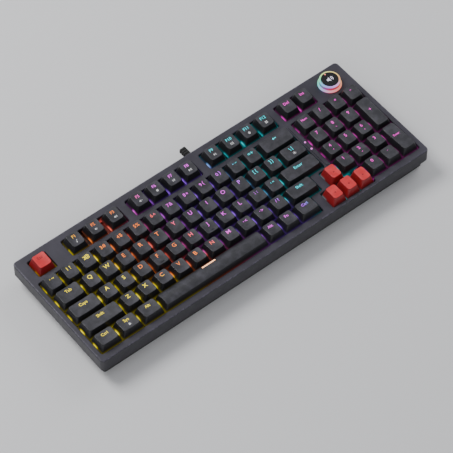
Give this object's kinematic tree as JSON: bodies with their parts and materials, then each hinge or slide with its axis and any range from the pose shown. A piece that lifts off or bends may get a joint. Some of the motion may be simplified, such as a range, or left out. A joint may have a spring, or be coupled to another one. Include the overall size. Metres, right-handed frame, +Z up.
{
  "type": "mechanical keyboard",
  "caption": "Full-size wired mechanical keyboard with sculpted keycaps on separate switches, backlight, number pad, arrow cluster and a turning knob at the rear right corner.",
  "frame": {"origin": "middle of the bounding box on the desk plane, under the rubber feet", "axes": "+X along the rows of keys to the right, +Y to the rear edge, +Z up"},
  "size_m": [0.3816, 0.1476, 0.0348],
  "materials": {
    "case_plastic": "fine satin texture",
    "keycap_plastic": "fine matte texture",
    "red_keycap": "fine matte texture",
    "plate_metal": "black satin powder coat",
    "board": "black solder mask",
    "switch_plastic": "smooth moulded",
    "spring_steel": "drawn wire",
    "led_lens": "clear diffusing lens, lit",
    "rubber": "matte",
    "screw_steel": "black zinc",
    "light_ring": "milky diffuser, lit",
    "knob_plastic": "milky diffusing plastic",
    "knob_disc": "polished black"
  },
  "bodies": {
    "keyboard": {"bottom_case": "case_plastic", "top_frame": "case_plastic", "switch_plate": "plate_metal", "circuit_board": "board", "switch_housings": "switch_plastic", "switch_springs": "spring_steel", "stabilizer_housings": "switch_plastic", "switch_leds": "led_lens", "indicator_lenses": "led_lens", "rubber_feet": "rubber", "case_screws": "screw_steel", "cable_gland": "rubber", "rotary_encoder": "switch_plastic", "knob_light_ring": "light_ring"},
    "knob_spindle": {"encoder_shaft": "spring_steel"},
    "knob": {"knob": "knob_plastic", "knob_top_disc": "knob_disc"},
    "left_foot": {"left_foot": "case_plastic"},
    "right_foot": {"right_foot": "case_plastic"},
    "space_wire": {"space_stabilizer_wire": "spring_steel"},
    "esc_key": {"esc_key": "red_keycap"},
    "function_keys": {"function_keys": "keycap_plastic"},
    "number_keys": {"number_keys": "keycap_plastic"},
    "backspace_key": {"backspace_key": "keycap_plastic"},
    "punctuation_keys": {"punctuation_keys": "keycap_plastic"},
    "enter_key": {"enter_key": "keycap_plastic"},
    "left_modifier_keys": {"left_modifier_keys": "keycap_plastic"},
    "right_modifier_keys": {"right_modifier_keys": "keycap_plastic"},
    "space_bar": {"space_bar": "keycap_plastic"},
    "up_key": {"up_key": "red_keycap"},
    "left_key": {"left_key": "red_keycap"},
    "down_key": {"down_key": "red_keycap"},
    "right_key": {"right_key": "red_keycap"},
    "numpad_keys": {"numpad_keys": "keycap_plastic"},
    "key_q": {"key_q": "keycap_plastic"},
    "key_w": {"key_w": "keycap_plastic"},
    "key_e": {"key_e": "keycap_plastic"},
    "key_r": {"key_r": "keycap_plastic"},
    "key_t": {"key_t": "keycap_plastic"},
    "key_y": {"key_y": "keycap_plastic"},
    "key_u": {"key_u": "keycap_plastic"},
    "key_i": {"key_i": "keycap_plastic"},
    "key_o": {"key_o": "keycap_plastic"},
    "key_p": {"key_p": "keycap_plastic"},
    "key_a": {"key_a": "keycap_plastic"},
    "key_s": {"key_s": "keycap_plastic"},
    "key_d": {"key_d": "keycap_plastic"},
    "key_f": {"key_f": "keycap_plastic"},
    "key_g": {"key_g": "keycap_plastic"},
    "key_h": {"key_h": "keycap_plastic"},
    "key_j": {"key_j": "keycap_plastic"},
    "key_k": {"key_k": "keycap_plastic"},
    "key_l": {"key_l": "keycap_plastic"},
    "key_z": {"key_z": "keycap_plastic"},
    "key_x": {"key_x": "keycap_plastic"},
    "key_c": {"key_c": "keycap_plastic"},
    "key_v": {"key_v": "keycap_plastic"},
    "key_b": {"key_b": "keycap_plastic"},
    "key_n": {"key_n": "keycap_plastic"},
    "key_m": {"key_m": "keycap_plastic"}
  },
  "joints": [
    {"name": "esc_key_press", "type": "slide", "parent": "keyboard", "child": "esc_key", "axis": [0, 0, -1], "range_m": [0, 0.004], "stiffness_N_per_m": 110, "springref_m": -0.0027, "deforming": ["switch_springs"]},
    {"name": "function_keys_press", "type": "slide", "parent": "keyboard", "child": "function_keys", "axis": [0, 0, -1], "range_m": [0, 0.004], "stiffness_N_per_m": 1430, "springref_m": -0.0027, "deforming": ["switch_springs"]},
    {"name": "number_keys_press", "type": "slide", "parent": "keyboard", "child": "number_keys", "axis": [0, 0, -1], "range_m": [0, 0.004], "stiffness_N_per_m": 1430, "springref_m": -0.0027, "deforming": ["switch_springs"]},
    {"name": "backspace_key_press", "type": "slide", "parent": "keyboard", "child": "backspace_key", "axis": [0, 0, -1], "range_m": [0, 0.004], "stiffness_N_per_m": 110, "springref_m": -0.0027, "deforming": ["switch_springs"]},
    {"name": "punctuation_keys_press", "type": "slide", "parent": "keyboard", "child": "punctuation_keys", "axis": [0, 0, -1], "range_m": [0, 0.004], "stiffness_N_per_m": 880, "springref_m": -0.0027, "deforming": ["switch_springs"]},
    {"name": "enter_key_press", "type": "slide", "parent": "keyboard", "child": "enter_key", "axis": [0, 0, -1], "range_m": [0, 0.004], "stiffness_N_per_m": 110, "springref_m": -0.0027, "deforming": ["switch_springs"]},
    {"name": "left_modifier_keys_press", "type": "slide", "parent": "keyboard", "child": "left_modifier_keys", "axis": [0, 0, -1], "range_m": [0, 0.004], "stiffness_N_per_m": 660, "springref_m": -0.0027, "deforming": ["switch_springs"]},
    {"name": "right_modifier_keys_press", "type": "slide", "parent": "keyboard", "child": "right_modifier_keys", "axis": [0, 0, -1], "range_m": [0, 0.004], "stiffness_N_per_m": 440, "springref_m": -0.0027, "deforming": ["switch_springs"]},
    {"name": "space_bar_press", "type": "slide", "parent": "keyboard", "child": "space_bar", "axis": [0, 0, -1], "range_m": [0, 0.004], "stiffness_N_per_m": 110, "springref_m": -0.0027, "deforming": ["switch_springs"]},
    {"name": "up_key_press", "type": "slide", "parent": "keyboard", "child": "up_key", "axis": [0, 0, -1], "range_m": [0, 0.004], "stiffness_N_per_m": 110, "springref_m": -0.0027, "deforming": ["switch_springs"]},
    {"name": "left_key_press", "type": "slide", "parent": "keyboard", "child": "left_key", "axis": [0, 0, -1], "range_m": [0, 0.004], "stiffness_N_per_m": 110, "springref_m": -0.0027, "deforming": ["switch_springs"]},
    {"name": "down_key_press", "type": "slide", "parent": "keyboard", "child": "down_key", "axis": [0, 0, -1], "range_m": [0, 0.004], "stiffness_N_per_m": 110, "springref_m": -0.0027, "deforming": ["switch_springs"]},
    {"name": "right_key_press", "type": "slide", "parent": "keyboard", "child": "right_key", "axis": [0, 0, -1], "range_m": [0, 0.004], "stiffness_N_per_m": 110, "springref_m": -0.0027, "deforming": ["switch_springs"]},
    {"name": "numpad_keys_press", "type": "slide", "parent": "keyboard", "child": "numpad_keys", "axis": [0, 0, -1], "range_m": [0, 0.004], "stiffness_N_per_m": 1870, "springref_m": -0.0027, "deforming": ["switch_springs"]},
    {"name": "key_q_press", "type": "slide", "parent": "keyboard", "child": "key_q", "axis": [0, 0, -1], "range_m": [0, 0.004], "stiffness_N_per_m": 110, "springref_m": -0.0027, "deforming": ["switch_springs"]},
    {"name": "key_w_press", "type": "slide", "parent": "keyboard", "child": "key_w", "axis": [0, 0, -1], "range_m": [0, 0.004], "stiffness_N_per_m": 110, "springref_m": -0.0027, "deforming": ["switch_springs"]},
    {"name": "key_e_press", "type": "slide", "parent": "keyboard", "child": "key_e", "axis": [0, 0, -1], "range_m": [0, 0.004], "stiffness_N_per_m": 110, "springref_m": -0.0027, "deforming": ["switch_springs"]},
    {"name": "key_r_press", "type": "slide", "parent": "keyboard", "child": "key_r", "axis": [0, 0, -1], "range_m": [0, 0.004], "stiffness_N_per_m": 110, "springref_m": -0.0027, "deforming": ["switch_springs"]},
    {"name": "key_t_press", "type": "slide", "parent": "keyboard", "child": "key_t", "axis": [0, 0, -1], "range_m": [0, 0.004], "stiffness_N_per_m": 110, "springref_m": -0.0027, "deforming": ["switch_springs"]},
    {"name": "key_y_press", "type": "slide", "parent": "keyboard", "child": "key_y", "axis": [0, 0, -1], "range_m": [0, 0.004], "stiffness_N_per_m": 110, "springref_m": -0.0027, "deforming": ["switch_springs"]},
    {"name": "key_u_press", "type": "slide", "parent": "keyboard", "child": "key_u", "axis": [0, 0, -1], "range_m": [0, 0.004], "stiffness_N_per_m": 110, "springref_m": -0.0027, "deforming": ["switch_springs"]},
    {"name": "key_i_press", "type": "slide", "parent": "keyboard", "child": "key_i", "axis": [0, 0, -1], "range_m": [0, 0.004], "stiffness_N_per_m": 110, "springref_m": -0.0027, "deforming": ["switch_springs"]},
    {"name": "key_o_press", "type": "slide", "parent": "keyboard", "child": "key_o", "axis": [0, 0, -1], "range_m": [0, 0.004], "stiffness_N_per_m": 110, "springref_m": -0.0027, "deforming": ["switch_springs"]},
    {"name": "key_p_press", "type": "slide", "parent": "keyboard", "child": "key_p", "axis": [0, 0, -1], "range_m": [0, 0.004], "stiffness_N_per_m": 110, "springref_m": -0.0027, "deforming": ["switch_springs"]},
    {"name": "key_a_press", "type": "slide", "parent": "keyboard", "child": "key_a", "axis": [0, 0, -1], "range_m": [0, 0.004], "stiffness_N_per_m": 110, "springref_m": -0.0027, "deforming": ["switch_springs"]},
    {"name": "key_s_press", "type": "slide", "parent": "keyboard", "child": "key_s", "axis": [0, 0, -1], "range_m": [0, 0.004], "stiffness_N_per_m": 110, "springref_m": -0.0027, "deforming": ["switch_springs"]},
    {"name": "key_d_press", "type": "slide", "parent": "keyboard", "child": "key_d", "axis": [0, 0, -1], "range_m": [0, 0.004], "stiffness_N_per_m": 110, "springref_m": -0.0027, "deforming": ["switch_springs"]},
    {"name": "key_f_press", "type": "slide", "parent": "keyboard", "child": "key_f", "axis": [0, 0, -1], "range_m": [0, 0.004], "stiffness_N_per_m": 110, "springref_m": -0.0027, "deforming": ["switch_springs"]},
    {"name": "key_g_press", "type": "slide", "parent": "keyboard", "child": "key_g", "axis": [0, 0, -1], "range_m": [0, 0.004], "stiffness_N_per_m": 110, "springref_m": -0.0027, "deforming": ["switch_springs"]},
    {"name": "key_h_press", "type": "slide", "parent": "keyboard", "child": "key_h", "axis": [0, 0, -1], "range_m": [0, 0.004], "stiffness_N_per_m": 110, "springref_m": -0.0027, "deforming": ["switch_springs"]},
    {"name": "key_j_press", "type": "slide", "parent": "keyboard", "child": "key_j", "axis": [0, 0, -1], "range_m": [0, 0.004], "stiffness_N_per_m": 110, "springref_m": -0.0027, "deforming": ["switch_springs"]},
    {"name": "key_k_press", "type": "slide", "parent": "keyboard", "child": "key_k", "axis": [0, 0, -1], "range_m": [0, 0.004], "stiffness_N_per_m": 110, "springref_m": -0.0027, "deforming": ["switch_springs"]},
    {"name": "key_l_press", "type": "slide", "parent": "keyboard", "child": "key_l", "axis": [0, 0, -1], "range_m": [0, 0.004], "stiffness_N_per_m": 110, "springref_m": -0.0027, "deforming": ["switch_springs"]},
    {"name": "key_z_press", "type": "slide", "parent": "keyboard", "child": "key_z", "axis": [0, 0, -1], "range_m": [0, 0.004], "stiffness_N_per_m": 110, "springref_m": -0.0027, "deforming": ["switch_springs"]},
    {"name": "key_x_press", "type": "slide", "parent": "keyboard", "child": "key_x", "axis": [0, 0, -1], "range_m": [0, 0.004], "stiffness_N_per_m": 110, "springref_m": -0.0027, "deforming": ["switch_springs"]},
    {"name": "key_c_press", "type": "slide", "parent": "keyboard", "child": "key_c", "axis": [0, 0, -1], "range_m": [0, 0.004], "stiffness_N_per_m": 110, "springref_m": -0.0027, "deforming": ["switch_springs"]},
    {"name": "key_v_press", "type": "slide", "parent": "keyboard", "child": "key_v", "axis": [0, 0, -1], "range_m": [0, 0.004], "stiffness_N_per_m": 110, "springref_m": -0.0027, "deforming": ["switch_springs"]},
    {"name": "key_b_press", "type": "slide", "parent": "keyboard", "child": "key_b", "axis": [0, 0, -1], "range_m": [0, 0.004], "stiffness_N_per_m": 110, "springref_m": -0.0027, "deforming": ["switch_springs"]},
    {"name": "key_n_press", "type": "slide", "parent": "keyboard", "child": "key_n", "axis": [0, 0, -1], "range_m": [0, 0.004], "stiffness_N_per_m": 110, "springref_m": -0.0027, "deforming": ["switch_springs"]},
    {"name": "key_m_press", "type": "slide", "parent": "keyboard", "child": "key_m", "axis": [0, 0, -1], "range_m": [0, 0.004], "stiffness_N_per_m": 110, "springref_m": -0.0027, "deforming": ["switch_springs"]},
    {"name": "space_wire_tilt", "type": "hinge", "parent": "keyboard", "child": "space_wire", "pos_m": [-0.05382, -0.06437, 0.0153], "axis": [-1, 0, 0], "range_deg": [0, 29.5]},
    {"name": "knob_press", "type": "slide", "parent": "keyboard", "child": "knob_spindle", "axis": [0, 0, -1], "range_m": [0, 0.0005], "stiffness_N_per_m": 1500, "springref_m": -0.001},
    {"name": "knob_turn", "type": "hinge", "parent": "knob_spindle", "child": "knob", "pos_m": [0.16859, 0.04527, 0.03], "axis": [0, 0, 1], "continuous": true},
    {"name": "left_foot_fold", "type": "hinge", "parent": "keyboard", "child": "left_foot", "pos_m": [-0.125, 0.04579, 0.0034], "axis": [1, 0, 0], "range_deg": [0, 90]},
    {"name": "right_foot_fold", "type": "hinge", "parent": "keyboard", "child": "right_foot", "pos_m": [0.125, 0.04579, 0.0034], "axis": [1, 0, 0], "range_deg": [0, 90]}
  ],
  "couplings": [
    {"joint": "space_wire_tilt", "follows": "space_bar_press", "rad_per_m": 125.66}
  ]
}
